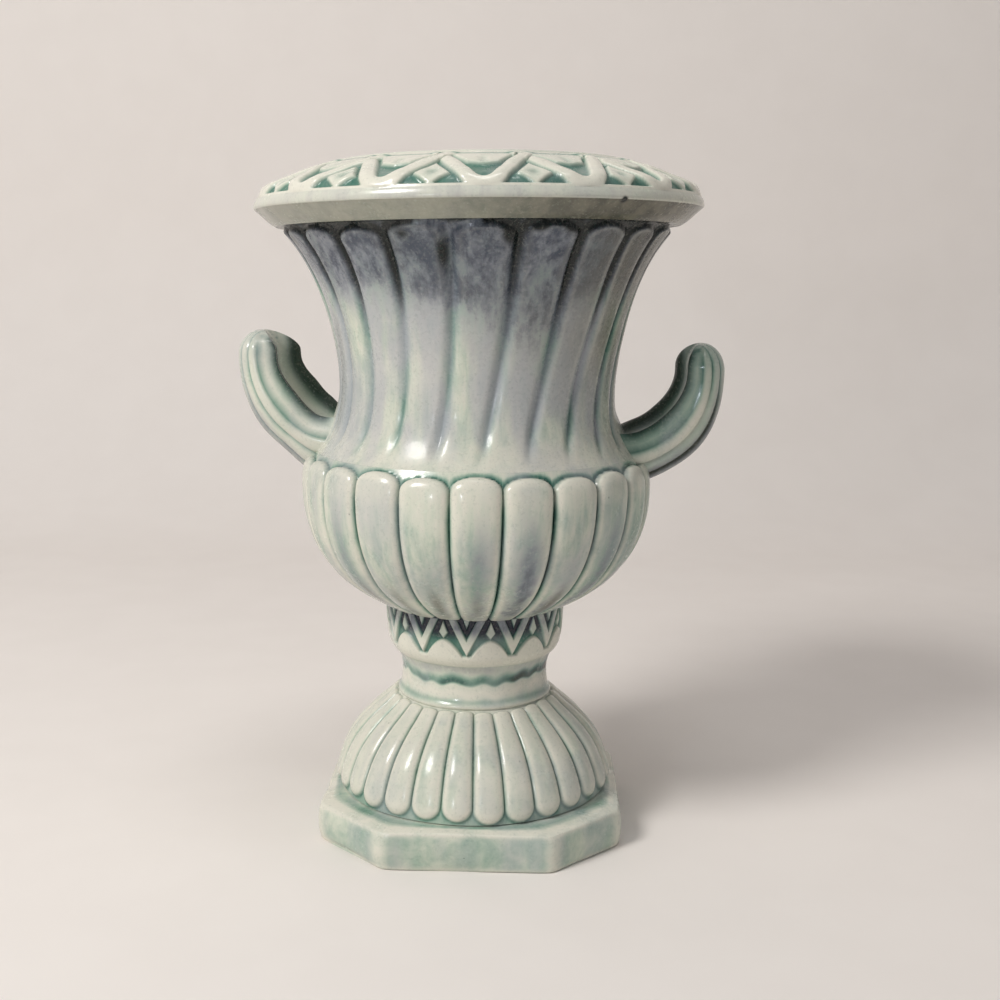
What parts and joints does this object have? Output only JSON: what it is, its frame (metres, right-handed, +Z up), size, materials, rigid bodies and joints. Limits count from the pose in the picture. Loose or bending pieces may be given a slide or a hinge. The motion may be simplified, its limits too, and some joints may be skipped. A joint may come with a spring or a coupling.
{
  "type": "urn vase",
  "caption": "Footed urn-shaped vase with a gadrooned bowl, a fluted flaring neck, a wide interlaced-strap rim, two upturned side handles and an octagonal plinth, open at the mouth.",
  "frame": {"origin": "centre of the plinth's underside, on the surface that the vase stands on", "axes": "+Z up along the vase's axis, +X towards the right handle, -Y towards the viewer of the picture"},
  "size_m": [0.1489, 0.1344, 0.205],
  "materials": {
    "plinth_glaze": "glossy pale sea-green glaze with grey-green mottling, cream on the arrises",
    "foot_glaze": "glossy cream glaze on the flutes, green pooled in the valleys",
    "stem_glaze": "glossy mottled grey-green glaze",
    "collar_glaze": "glossy grey-lilac and cream glaze, blue-green pooled in the sunk pattern",
    "bowl_glaze": "glossy cream glaze on the gadroons, green pooled between them",
    "neck_glaze": "glossy pale green glaze with a grey clouding and dark runs under the rim",
    "rim_glaze": "glossy cream glaze on the straps, green pooled in the sunk pattern",
    "handle_glaze": "glossy cream glaze on the reeds, teal pooled at the roots"
  },
  "bodies": {
    "root": {"octagonal_plinth": "plinth_glaze", "fluted_foot": "foot_glaze", "stem_waist": "stem_glaze", "chevron_collar": "collar_glaze", "gadrooned_bowl": "bowl_glaze", "fluted_neck": "neck_glaze", "strapwork_rim": "rim_glaze", "left_handle": "handle_glaze", "right_handle": "handle_glaze"}
  },
  "joints": []
}
